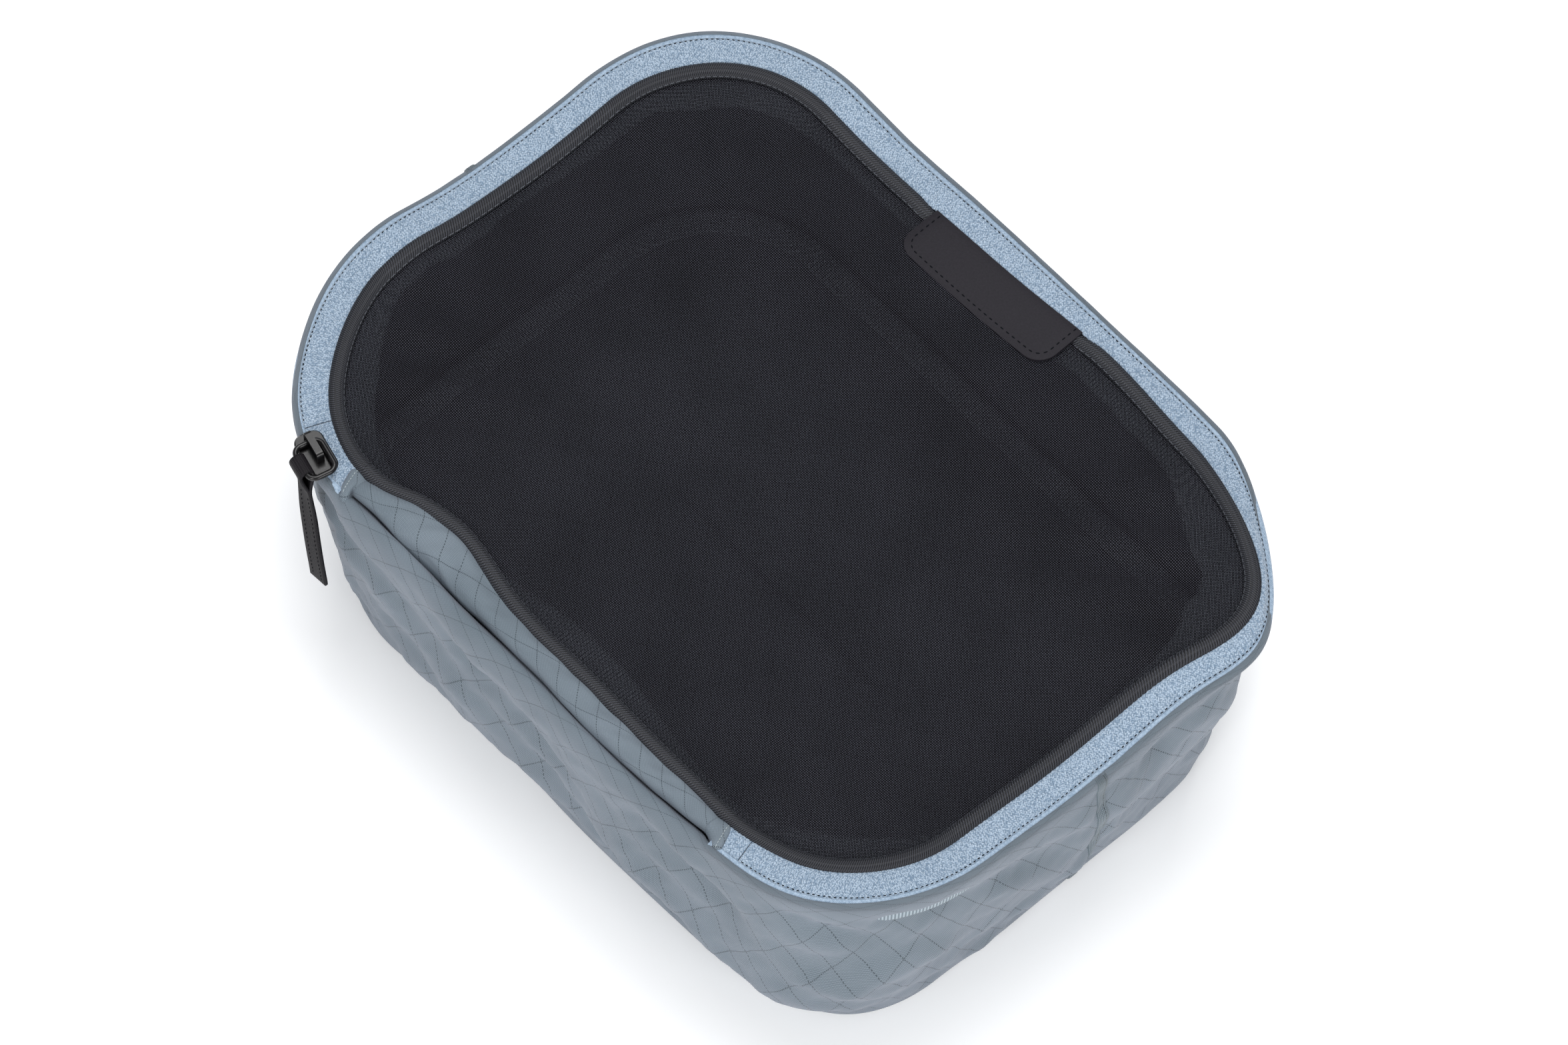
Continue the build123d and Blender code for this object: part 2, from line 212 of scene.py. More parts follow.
def settle(spot):
    """Where a point of the soft cube comes to rest: the short sides sag, the corners stand up."""
    x, y, z = spot
    high = ease(z, 0.015, 0.074)
    side = ease(abs(x), 0.06, 0.12)
    moved = Vector(spot)
    sag = hump(y, 0.016 if x < 0 else -0.002, 0.036) * side * high
    moved.z -= DIP * sag
    moved.x += copysign(0.0007, x) * sag
    back, front = hump(y, 0.078, 0.026), hump(y, -0.078, 0.026)
    moved.z += LIFT * high * side * (back + (front if x > 0 else 0))
    moved.z += LIFT * high * side * (x < 0) * hump(y, -0.030, 0.014)
    moved.z -= 0.0024 * high * hump(x, -0.048, 0.022) * ease(y, 0.05, 0.09)
    moved += 0.0026 * high * hump(x, 0.100, 0.026) * hump(y, 0.090, 0.026) * Vector((-0.7, -0.7, 0))
    moved.x -= 0.0012 * high * (x < 0) * side * hump(y, -0.036, 0.018)
    moved += 0.0021 * high * hump(x, -0.113, 0.020) * hump(y, -0.067, 0.020) * Vector((0.67, 0.74, 0))
    moved.y += 0.0034 * high * hump(x, 0.080, 0.022) * (1 - ease(y, -0.094, -0.060))
    top = ease(z, 0.0745, 0.0775)
    moved += (0.0014 * high + 0.0032 * top) * (x > 0) * side * hump(y, 0.058, 0.018) * Vector((0.94, 0.34, 0))
    inset = CORNER - Vector((max(x - STRAIGHTS[0] / 2, 0), max(y - STRAIGHTS[1] / 2, 0))).length
    corner = top * hump(x, 0.116, 0.026) * hump(y, 0.072, 0.030)
    tilt = ease(inset, 0.0015, 0.0115)
    moved += 0.0056 * corner * tilt * (1 - ease(inset, 0.0145, 0.042)) * Vector((0.72, 0.69, 0))
    moved.z -= 0.0030 * corner * (1 - tilt)
    front_edge = ease(y, -WIDTH / 2 + 0.0015, -WIDTH / 2 + 0.0105)
    moved.y += bow(x) * top * front_edge * (1 - ease(y, -0.083, -0.02))
    back_edge = ease(y, 0.045, 0.080) * (1 - ease(y, 0.0865, 0.0965))
    moved.y += 0.0030 * hump(x, 0.040, 0.032) * top * back_edge
    return moved


def curve_at(points, share):
    """A point on the smooth line through some points, at a share of its way."""
    place = max(0.0, min(1.0, share)) * (len(points) - 1)
    step = min(int(place), len(points) - 2)
    t = place - step
    last = len(points) - 1
    a, b, c, d = (Vector(points[max(0, min(last, step + k))]) for k in (-1, 0, 1, 2))
    square, cube = (2 * a - 5 * b + 4 * c - d), (3 * b - a - 3 * c + d)
    return 0.5 * (2 * b + (c - a) * t + square * t * t + cube * t**3)


def weave(columns, rows, size, shape):
    """A cloth grid of that flat size. shape gives where a point of the flat cloth goes."""
    cloth = bmesh.new()
    bmesh.ops.create_grid(cloth, x_segments=columns, y_segments=rows, size=0.5)
    flat = cloth.loops.layers.uv.new("flat")
    for vertex in cloth.verts:
        x, y = (vertex.co.x + 0.5) * size[0], (vertex.co.y + 0.5) * size[1]
        for corner in vertex.link_loops:
            corner[flat].uv = (x, y)
        vertex.co = shape(x, y)
    bmesh.ops.remove_doubles(cloth, verts=cloth.verts, dist=2e-6)
    bmesh.ops.dissolve_degenerate(cloth, dist=1e-7, edges=cloth.edges)
    return cloth


def make(name, mesh, finish, nodes, body=None, thick=0.0, bevel=0.0, smooth=0):
    """The finished piece: its mesh, its thickness, its material and the CAD nodes it stands for."""
    data = bpy.data.meshes.new(name)
    mesh.to_mesh(data)
    mesh.free()
    data.shade_smooth()
    data.materials.append(finish.material)
    made = bpy.data.objects.new(name, data)
    scene.collection.objects.link(made)
    if thick:
        wall = made.modifiers.new("thickness", "SOLIDIFY")
        wall.thickness, wall.offset = thick, -1
    if bevel:
        edge = made.modifiers.new("edge", "BEVEL")
        edge.width, edge.segments, edge.limit_method = bevel, 2, "ANGLE"
    if smooth:
        rounder = made.modifiers.new("rounder", "SUBSURF")
        rounder.levels = rounder.render_levels = smooth
    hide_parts(*nodes)
    if body:
        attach(made, body)
    return made


def ripstop(name, tilt=(0.75, -1.05), where="UV", axes=(0, 1)):
    """Fine plain-woven cloth with two sets of dark reinforcing threads that cross in diamonds."""
    cloth = Finish(name, Roughness=0.62, Sheen_Weight=0.22, Sheen_Roughness=0.45)
    cloth.shader.inputs["Sheen Tint"].default_value = (0.78, 0.72, 0.84, 1)
    flat = cloth.axes(where)
    u, v = (flat[axis] for axis in axes)
    twill = cloth.calc("ADD", u, cloth.calc("MULTIPLY", v, 0.6))
    plain = cloth.calc("MULTIPLY", cloth.wave(twill, 0.00042), cloth.wave(v, 0.00036))
    lines = None
    for slope, apart, dash in zip(tilt, (0.0118, 0.0072), (0.00056, 0.00085)):
        long = (1 + slope * slope) ** 0.5
        across = cloth.calc("MULTIPLY_ADD", u, slope / long, cloth.calc("MULTIPLY", v, -1 / long))
        nearest = cloth.calc("PINGPONG", across, apart / 2)
        thread = cloth.calc("LESS_THAN", nearest, 0.00014)
        ahead = cloth.calc("MULTIPLY_ADD", v, slope / long, cloth.calc("MULTIPLY", u, 1 / long))
        shown = cloth.calc("GREATER_THAN", cloth.wave(ahead, dash), 0.36)
        thread = cloth.calc("MULTIPLY", thread, shown)
        lines = thread if lines is None else cloth.calc("MAXIMUM", lines, thread)
    patchy = cloth.calc("MULTIPLY_ADD", cloth.grain(28, 4), 0.9, 0.05)
    tone = cloth.calc("MULTIPLY_ADD", plain, 0.75, cloth.calc("MULTIPLY_ADD", patchy, 0.55, -0.03))
    body = cloth.mix(tone, *CLOTH_COLOURS)
    cloth.colour(cloth.mix(cloth.calc("MULTIPLY", lines, 0.85), body, CLOTH_THREAD))
    cloth.bump(cloth.calc("SUBTRACT", plain, cloth.calc("MULTIPLY", lines, 1.2)), 0.00007, 0.9)
    return cloth


def spread(edge, height, sag):
    """Cloth over the whole opening: rings from the rim's line down to a seam-free middle."""

    def shape(along, inwards):
        rim, _ = rim_spot(along, edge)
        middle = Vector((max(-0.045, min(0.045, rim.x)), 0, 0))
        spot = rim.lerp(middle, inwards / WIDTH * 2)
        spot.z = height
        return sag(spot, inwards / WIDTH * 2)

    return shape


def floor_sag(spot, _share):
    """The bottom lies flat, with slight waves where nothing weighs it down."""
    lumps = noise.noise(Vector((spot.x * 22, spot.y * 22, 5.0)))
    spot.z += 0.0005 + 0.0009 * max(0.0, lumps)
    return spot


floor_cloth = ripstop("floor_ripstop", where="Object")
bottom_panel = make(
    "bottom_panel_cloth",
    weave(200, 24, (ROUND, WIDTH / 2), spread(0.0122, 0.0004, floor_sag)),
    floor_cloth, ["bottom_panel"], "body", thick=0.0005,
)

# ---------------------------------------------------------------- wall: front and back gussets
# Two long strips of ripstop, lapped and sewn together at the middle of the short sides. The
# cloth turns under at the foot and over the zip tape at the rim, and hangs in soft folds.
WALL_THICK = 0.00045
WALL_RUN = ((0.0136, 0.0008), (0.0108, 0.0004), (0.0080, 0.0024), (0.0063, 0.0070),
            (0.0042, 0.0180), (0.0022, 0.0320), (0.0007, 0.0470), (0.0000, 0.0600),
            (-0.0002, 0.0700), (-0.0001, 0.0765), (0.0004, 0.0786), (0.0017, 0.0791))
TUCK_RUN = ((0.0136, 0.0008), (0.0108, 0.0004), (0.0080, 0.0024), (0.0063, 0.0070),
            (0.0042, 0.0180), (0.0022, 0.0320), (0.0007, 0.0460), (-0.0004, 0.0570),
            (-0.0012, 0.0670), (0.0008, 0.0742), (0.0034, 0.0768), (0.0060, 0.0735))
WALL_HIGH = 0.092
TUCK_ENDS = (0.0690, 0.0775)
SIDE_SEAMS = (MID_RIGHT, MID_LEFT)
# Each crease: where it starts and ends as (along, height), how deep it is and how wide.
CREASES = (
    ((-0.020, 0.070), (0.050, 0.046), -0.0016, 0.0050),
    ((0.000, 0.060), (0.075, 0.022), 0.0016, 0.0080),
    ((0.040, 0.066), (0.105, 0.040), -0.0018, 0.0060),
    ((0.085, 0.030), (0.165, 0.006), -0.0022, 0.0070),
    ((0.100, 0.044), (0.180, 0.016), 0.0018, 0.0085),
    ((0.118, 0.070), (0.165, 0.050), -0.0016, 0.0055),
    ((0.170, 0.074), (0.205, 0.058), -0.0013, 0.0040),
    ((0.185, 0.030), (0.250, 0.052), 0.0014, 0.0080),
    ((0.205, 0.066), (0.262, 0.060), -0.0012, 0.0060),
    ((0.225, 0.012), (0.278, 0.034), -0.0016, 0.0060),
    ((0.284, 0.058), (0.318, 0.068), -0.0011, 0.0050),
    ((0.283, 0.040), (0.335, 0.026), -0.0014, 0.0060),
    ((0.345, 0.060), (0.420, 0.035), 0.0014, 0.0090),
    ((0.440, 0.055), (0.520, 0.030), -0.0014, 0.0070),
    ((0.500, 0.066), (0.580, 0.050), 0.0012, 0.0080),
    ((0.600, 0.030), (0.660, 0.058), -0.0014, 0.0070),
    ((0.688, 0.050), (0.640, 0.066), -0.0010, 0.0050),
    ((0.698, 0.036), (0.745, 0.060), -0.0013, 0.0060),
    ((0.760, 0.020), (0.800, 0.060), 0.0014, 0.0080),
    ((0.790, 0.068), (0.824, 0.040), -0.0012, 0.0050),
)


def crease_at(along, height, start, end):
    """How near a point is to a crease's line, and how far it is past the line's two ends."""
    place = Vector((along, height))
    run = Vector(end) - Vector(start)
    share = max(0.0, min(1.0, (place - Vector(start)).dot(run) / run.length_squared))
    fade = sin(pi * (0.12 + 0.76 * share))
    return (place - Vector(start) - share * run).length, fade


def wall_folds(along, height):
    """How far the cloth stands out of its plain shape at a place on the wall."""
    along = along % ROUND
    loose = ease(height, 0.003, 0.014) * (1 - 0.92 * ease(height, 0.066, 0.0765))
    out = 0.0006 * sin(pi * min(1.0, height / 0.070))
    out += 0.0034 * noise.noise(Vector((along * 24, height * 30, 1.7)))
    out += 0.0018 * noise.noise(Vector((along * 62 + height * 60, height * 80, 8.1)))
    out += 0.0006 * noise.noise(Vector((along * 190 - height * 150, height * 210, 5.5)))
    for start, end, depth, wide in CREASES:
        for lap in (0, -ROUND):
            near, fade = crease_at(along + lap, height, start, end)
            if near < 3 * wide:
                out += 1.5 * depth * fade * hump(near, 0, wide)
    for seam in SIDE_SEAMS:
        off = along - seam
        out += 0.0008 * sin(height / 0.0030 + copysign(1.1, off)) * hump(abs(off), 0.0055, 0.0040)
        out -= 0.0014 * hump(off, 0, 0.0035)
    return out * loose


# Where the wall stands further in or out than its plain shape: (along, reach, at the foot,
# half way up, at the rim). It is slackest under the front left and the back right corners.
DRAWS = (
    (0.366, 0.029, 0.0118, 0.0060, 0.0016), (0.779, 0.031, 0.0074, 0.0052, 0.0010),
    (0.350, 0.016, 0.0016, 0.0030, 0.0), (0.255, 0.050, 0.0008, 0.0, 0.0),
    (0.160, 0.013, 0.0017, 0.0, 0.0), (0.232, 0.012, 0.0014, 0.0, 0.0),
    (0.197, 0.017, -0.0018, -0.0004, 0.0), (0.010, 0.018, -0.0036, 0.0, 0.0),
    (0.096, 0.030, -0.0014, 0.0, 0.0), (0.048, 0.016, -0.0006, 0.0, 0.0),
)


def foot_draw(along, height):
    """How much further in the wall stands than its plain shape."""
    low = 1 - ease(height, 0.010, 0.068)
    half_way = hump(height, 0.055, 0.026) * (1 - ease(height, 0.067, 0.0765))
    draw = 0
    for place, reach, foot, half, rim in DRAWS:
        off = (along - place + ROUND / 2) % ROUND - ROUND / 2
        draw += hump(off, 0, reach) * (foot * low + half * half_way + rim * ease(height, 0.045, 0.060))
    return draw


def wall_spot(along, share, stand=0.0):
    """A place on the wall's outer face, a share of the way from its foot to its rim."""
    side = along % ROUND
    centre = side - STRAIGHTS[0] / 2 if side < ROUND / 2 else side - ROUND - STRAIGHTS[0] / 2
    tuck = 1 - ease(abs(centre), *TUCK_ENDS)
    inset, height = curve_at(WALL_RUN, share).lerp(curve_at(TUCK_RUN, share), tuck)
    spot, out = rim_spot(along, inset + foot_draw(along, height))
    spot.z = height
    spot = settle(spot) + (wall_folds(along, height) + stand) * out
    ridge = tuck * ease(height, 0.0640, 0.0740)
    wavy = 0.55 + 0.9 * noise.noise(Vector((along * 30, 0, 4.2)))
    return spot + ridge * 0.0013 * wavy * out + Vector((0, 0, ridge * 0.0014 * wavy))


wall_cloth = ripstop("wall_ripstop")
for gusset_name, first_along in (("gusset_front", MID_LEFT - ROUND), ("gusset_back", MID_RIGHT)):
    half_round = MID_RIGHT - (MID_LEFT - ROUND) if first_along < 0 else MID_LEFT - MID_RIGHT

    def gusset_shape(along, up, first=first_along):
        return wall_spot(first + along, up / WALL_HIGH)

    make(
        gusset_name + "_cloth",
        weave(ceil(half_round / 0.0017), 64, (half_round, WALL_HIGH), gusset_shape),
        wall_cloth, [gusset_name], "body", thick=WALL_THICK,
    )

# ---------------------------------------------------------------- side seams
# Where the two gussets meet, at the middle of each short side, one edge laps the other. A
# row of dark topstitching runs along the lap from foot to rim.
LAP_WIDE, LAP_STAND = 0.0042, 0.00055
lap_cloth = Finish("lapped_cloth", Roughness=0.66, Sheen_Weight=0.2)
lap_axes = lap_cloth.axes("UV")
lap_dash = lap_cloth.calc("GREATER_THAN", lap_cloth.wave(lap_axes[1], 0.0013), 0.35)
lap_line = lap_cloth.calc("COMPARE", lap_axes[0], LAP_WIDE * 0.70, 0.00016)
lap_seen = lap_cloth.calc("MULTIPLY", lap_dash, lap_line)
lap_waves = [lap_cloth.wave(axis, 0.00052) for axis in (lap_axes[0], lap_axes[1])]
lap_weave = lap_cloth.calc("MULTIPLY", *lap_waves)
lap_base = lap_cloth.mix(lap_weave, *CLOTH_COLOURS)
lap_cloth.colour(lap_cloth.mix(lap_seen, lap_base, CLOTH_THREAD))
lap_cloth.bump(lap_cloth.calc("SUBTRACT", lap_weave, lap_seen), 0.00012)
for seam_name, seam_along in zip(("side_seam_right", "side_seam_left"), SIDE_SEAMS):

    def seam_shape(across, up, middle=seam_along):
        edge = abs(across / LAP_WIDE - 0.5) * 2
        stand = LAP_STAND * (1 - edge**6) - 0.0003 * edge**6
        return wall_spot(middle + across - LAP_WIDE / 2, 0.09 + 0.885 * up / WALL_HIGH, stand)

    make(
        seam_name + "_lap", weave(8, 70, (LAP_WIDE, WALL_HIGH), seam_shape),
        lap_cloth, [seam_name], "body", thick=0.0003,
    )

# ---------------------------------------------------------------- bindings inside the cube
# Ribbed grosgrain tape sewn over the raw seams: flat at the foot of the wall, and upright
# under the rim.
BINDING_COLOURS = ((0.110, 0.150, 0.180, 1), (0.470, 0.550, 0.610, 1))
grosgrain = Finish("grosgrain", Roughness=0.7, Sheen_Weight=0.1)
rib_axes = grosgrain.axes("UV")
ribs = grosgrain.wave(rib_axes[0], 0.00105)
rib_fine = grosgrain.calc("MULTIPLY_ADD", grosgrain.wave(rib_axes[1], 0.00042), 0.4, 0.6)
rib_tone = grosgrain.calc("MULTIPLY", ribs, rib_fine)
grosgrain.colour(grosgrain.mix(rib_tone, *BINDING_COLOURS))
grosgrain.bump(rib_tone, 0.00018)


def rim_band(first, last, step, rows, line, wide, ripple=None, section=None):
    """Cloth tape laid along the rim: line is its cross-section as (inset, height) points."""

    def shape(along, across):
        share = across / wide
        inset, height = section(first + along, share) if section else curve_at(line, share)
        if ripple:
            more = ripple(first + along, share)
            inset, height = inset + more[0], height + more[1]
        spot, _ = rim_spot(first + along, inset)
        spot.z = height
        return settle(spot)

    return weave(ceil((last - first) / step), rows, (last - first, wide), shape)


def binding_wave(along, share):
    """Slight unevenness of a sewn tape: how far in, and how far up."""
    inward = 0.0006 * noise.noise(Vector((along * 60, share, 2.2)))
    return inward, 0.0004 * noise.noise(Vector((along * 80, share, 6.1)))


BOTTOM_SEAM_LINE = ((0.0120, 0.0030), (0.0135, 0.0036), (0.0165, 0.0026), (0.0200, 0.0020))
RIM_SEAM_LINE = ((0.0030, 0.0650), (0.0026, 0.0690), (0.0022, 0.0742))
RIM_SEAM_FOOT, RIM_SEAM_HIGH = 0.0650, 0.0092
make(
    "bottom_seam_grosgrain",
    rim_band(0, ROUND, 0.004, 6, BOTTOM_SEAM_LINE, 0.008, binding_wave),
    grosgrain, ["bottom_seam_binding"], "body", thick=0.0007,
)


def rim_seam_wave(along, share):
    """The tape under the rim keeps to the wall where the wall is drawn in."""
    inward, upward = binding_wave(along, share)
    return inward + foot_draw(along, RIM_SEAM_FOOT + RIM_SEAM_HIGH * share), upward


make(
    "rim_seam_grosgrain",
    rim_band(0.150, ROUND - 0.002, 0.004, 6, RIM_SEAM_LINE, 0.010, rim_seam_wave),
    grosgrain, ["rim_seam_binding"], "body", thick=0.0007,
)

# ---------------------------------------------------------------- zip: lower half, on the wall
# A narrow strip of smooth tape shows between the wall's turned edge and the slit of the zip.
# The coil is sewn under it and runs round three sides, between two pairs of end stops.
TAPE_PALE, TAPE_DEEP = (0.460, 0.575, 0.700, 1), (0.170, 0.250, 0.350, 1)
ZIP_GAP_X = 0.0718
ZIP_FIRST, ZIP_LAST = STRAIGHTS[0] / 2 + ZIP_GAP_X, ROUND + STRAIGHTS[0] / 2 - ZIP_GAP_X
TOOTH = 0.00165
COIL_HEIGHT = 0.0771
TAPE_FIRST, TAPE_LAST = ZIP_FIRST + 0.0034, ZIP_LAST - 0.0016
LOWER_TAPE_LINE = ((0.0011, 0.0782), (0.0017, 0.0788), (0.0024, 0.0790), (0.00308, 0.0790))
LOWER_TAPE_WIDE = 0.0026
plain_tape = Finish("plain_zip_tape", Roughness=0.72, Sheen_Weight=0.2)
plain_axes = plain_tape.axes("UV")
plain_twill = plain_tape.wave(plain_tape.calc("ADD", plain_axes[0], plain_axes[1]), 0.00062)
plain_base = plain_tape.calc("MULTIPLY_ADD", plain_twill, 0.3, -0.5)
plain_tone = plain_tape.calc("MULTIPLY_ADD", plain_tape.grain(1500, 3), 1.5, plain_base)
plain_tape.colour(plain_tape.mix(plain_tone, TAPE_DEEP, TAPE_PALE))
plain_tape.bump(plain_tone, 0.00012)
make(
    "zip_tape_lower_cloth",
    rim_band(TAPE_FIRST, TAPE_LAST, 0.003, 6, LOWER_TAPE_LINE, LOWER_TAPE_WIDE),
    plain_tape, ["zip_tape_lower"], "body", thick=0.0005,
)

coil_plastic = Finish("coil_plastic", Roughness=0.4, Coat_Weight=0.1)
coil_plastic.colour(coil_plastic.mix(coil_plastic.grain(900), (0.10, 0.17, 0.26, 1), (0.17, 0.26, 0.37, 1)))


def coil(first, last, near, far):
    """A nylon coil: a flattened tube pinched between its turns, from a near to a far inset."""
    middle, half = (near + far) / 2, (far - near) / 2

    def section(along, share):
        turn = tau * share
        fat = 0.62 + 0.38 * abs(sin(pi * along / TOOTH))
        return middle - half * cos(turn) * fat, COIL_HEIGHT + 0.0007 * sin(turn) * fat

    return rim_band(first, last, TOOTH / 4, 8, None, 0.006, section=section)


START_TURN, LEFT_TURN, RIGHT_TURN = (CORNER * radians(angle) for angle in (5.2, 23.5, 11.5))
LID_FIRST, LID_LAST = STRAIGHTS[0] + RIGHT_TURN, ROUND - LEFT_TURN
OPEN_GAP = 0.00015
LOWER_COIL, UPPER_COIL = (0.0010, 0.00245), (0.00355, 0.0050)
COIL_FIRST, COIL_LAST = STRAIGHTS[0] + START_TURN, ROUND - START_TURN
for coil_name, coil_body, coil_first, coil_last, insets in (
    ("zip_coil_lower", "body", COIL_FIRST, COIL_LAST, LOWER_COIL),
    ("zip_coil_end_left", "body", LID_LAST + OPEN_GAP, COIL_LAST, UPPER_COIL),
    ("zip_coil_end_right", "body", COIL_FIRST, LID_FIRST - OPEN_GAP, UPPER_COIL),
    ("zip_coil_upper", "lid", LID_FIRST + OPEN_GAP, LID_LAST - OPEN_GAP, UPPER_COIL),
):
    turns = coil(coil_first, coil_last, *insets)
    make(coil_name + "_turns", turns, coil_plastic, [coil_name], coil_body)

# ---------------------------------------------------------------- zip: broad upper tape
# Thick ribbed knit in pale blue: columns of slanting stitches run across the tape, and each
# column ends in a small scallop over the lid's roll. Its last stretches stay on the wall.
TAPE_WIDE = 0.0080
TAPE_LINE = ((0.00294, 0.0790), (0.0034, 0.07912), (0.0052, 0.0792),
             (0.0080, 0.0793), (0.0102, 0.0793), (0.0112, 0.0789))
KNIT_ROW = 0.00072
knit = Finish("ribbed_knit", Roughness=0.72, Sheen_Weight=0.25, Sheen_Roughness=0.4)
knit_axes = knit.axes("UV")
knit_lane = knit.calc("DIVIDE", knit_axes[0], TOOTH)
knit_share = knit.calc("FRACT", knit_lane)
knit_side = knit.calc("MULTIPLY_ADD", knit.calc("GREATER_THAN", knit_share, 0.5), 2.0, -1.0)
knit_lean = knit.calc("MULTIPLY", knit_side, knit.calc("MULTIPLY", knit_share, TOOTH * 1.1))
knit_loops = knit.wave(knit.calc("ADD", knit_axes[1], knit_lean), KNIT_ROW)
knit_half = knit.calc("FRACT", knit.calc("MULTIPLY", knit_lane, 2.0))
knit_rib = knit.calc("SINE", knit.calc("MULTIPLY", knit_half, pi))
knit_height = knit.calc("MULTIPLY", knit_loops, knit.calc("POWER", knit_rib, 0.6))
knit_place = knit.add("TexCoord", {}, "Object")
knit_cells = knit.add("TexVoronoi", {"Vector": knit_place, "Scale": 1750.0}, "Distance")
knit_fuzz = knit.calc("MULTIPLY_ADD", knit_cells, -1.1, 0.62)
knit_tone = knit.calc("ADD", knit.calc("MULTIPLY_ADD", knit_height, 0.55, 0.05), knit_fuzz)
knit.colour(knit.mix(knit_tone, TAPE_DEEP, (0.590, 0.710, 0.840, 1)))
knit.bump(knit_tone, 0.00030)


def knit_ripple(along, share):
    """Each column is slightly crowned, and pushes the inner edge out in a scallop."""
    crown = abs(sin(pi * along / TOOTH))
    return 0.00030 * crown * ease(share, 0.7, 1.0), 0.00012 * crown * ease(share, 0.05, 0.2)


for tape_name, tape_body, tape_first, tape_last in (
    ("zip_tape_upper", "lid", LID_FIRST + OPEN_GAP, LID_LAST - OPEN_GAP),
    ("zip_tape_end_left", "body", LID_LAST + OPEN_GAP, TAPE_LAST),
    ("zip_tape_end_right", "body", TAPE_FIRST, LID_FIRST - OPEN_GAP),
):
    make(
        tape_name + "_knit",
        rim_band(tape_first, tape_last, TOOTH / 4, 12, TAPE_LINE, TAPE_WIDE, knit_ripple),
        knit, [tape_name], tape_body, thick=0.0005,
    )

# ---------------------------------------------------------------- zip stitching
# One row of small dark lockstitches beside the slit holds the coil to the upper tape.
STITCH_PITCH, STITCH_LONG, STITCH_THICK, STITCH_INSET = 0.0016, 0.0010, 0.00036, 0.0034
STITCH_HEIGHT = 0.07918
dark_thread = Finish("dark_thread", Roughness=0.8, Specular_IOR_Level=0.1)
dark_fuzz = dark_thread.grain(1500)
dark_thread.colour(dark_thread.mix(dark_fuzz, (0.001, 0.0015, 0.003, 1), (0.004, 0.005, 0.008, 1)))


def stitch(mesh, start, end, thick, up=Vector((0, 0, 1)), fall=0.6):
    """One stitch: a small plump bead of thread pulled down between two needle holes."""
    ahead = end - start
    side = up.cross(ahead).normalized()
    frame_axes = Matrix((ahead.normalized(), side, ahead.normalized().cross(side))).transposed()
    place = Matrix.Translation((start + end) / 2) @ frame_axes.to_4x4()
    place = place @ Matrix.Diagonal((ahead.length, thick, thick * fall, 1)) @ Matrix.Rotation(pi / 2, 4, "Y")
    bmesh.ops.create_uvsphere(mesh, u_segments=6, v_segments=4, radius=0.5, matrix=place)


zip_row = bmesh.new()
row_at = LID_FIRST + 0.001
while row_at < LID_LAST - 0.003:
    ends = []
    for spot_at in (row_at, row_at + STITCH_LONG):
        spot, _ = rim_spot(spot_at, STITCH_INSET)
        spot.z = STITCH_HEIGHT
        ends.append(settle(spot))
    stitch(zip_row, *ends, STITCH_THICK)
    row_at += STITCH_PITCH
make("zip_stitch_row", zip_row, dark_thread, ["zip_stitching"], "lid")

# ---------------------------------------------------------------- hinge strip
# One piece of the wall cloth joins the lid to the front side: it comes up from inside the
# tuck, puffs over the edge and is sewn under the lid's roll.
STRIP_HALF, STRIP_WIDE, STRIP_TILT = 0.0717, 0.026, (0.45, -1.6)
STRIP_RUN = ((0.0078, 0.0650), (0.0068, 0.0700), (0.0052, 0.0745), (0.0046, 0.0775),
             (0.0055, 0.0796), (0.0076, 0.0804), (0.0100, 0.0800), (0.0120, 0.0787))


def strip_shape(across, up):
    x = across - STRIP_HALF
    share = up / STRIP_WIDE
    inset, height = curve_at(STRIP_RUN, share)
    loose = ease(STRIP_HALF - abs(x), 0.0, 0.010) * ease(share, 0.1, 0.4) * (1 - ease(share, 0.85, 1.0))
    height += loose * (0.0011 * noise.noise(Vector((x * 70 + share * 3, share * 2.0, 3.3))))
    height += loose * 0.0007 * noise.noise(Vector((x * 160 - share * 5, share * 3.0, 9.3)))
    height -= 0.0007 * (1 - ease(STRIP_HALF - abs(x), 0.0, 0.004)) * ease(share, 0.4, 0.6)
    inset += loose * 0.0010 * noise.noise(Vector((x * 55, 7.0, share)))
    return settle(Vector((x, inset - WIDTH / 2, height)))


hinge_strip = make(
    "hinge_strip_cloth",
    weave(110, 26, (2 * STRIP_HALF, STRIP_WIDE), strip_shape),
    ripstop("strip_ripstop", tilt=STRIP_TILT),
    ["hinge_strip_lower", "hinge_strip_upper"], thick=0.0004,
)
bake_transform(hinge_strip)

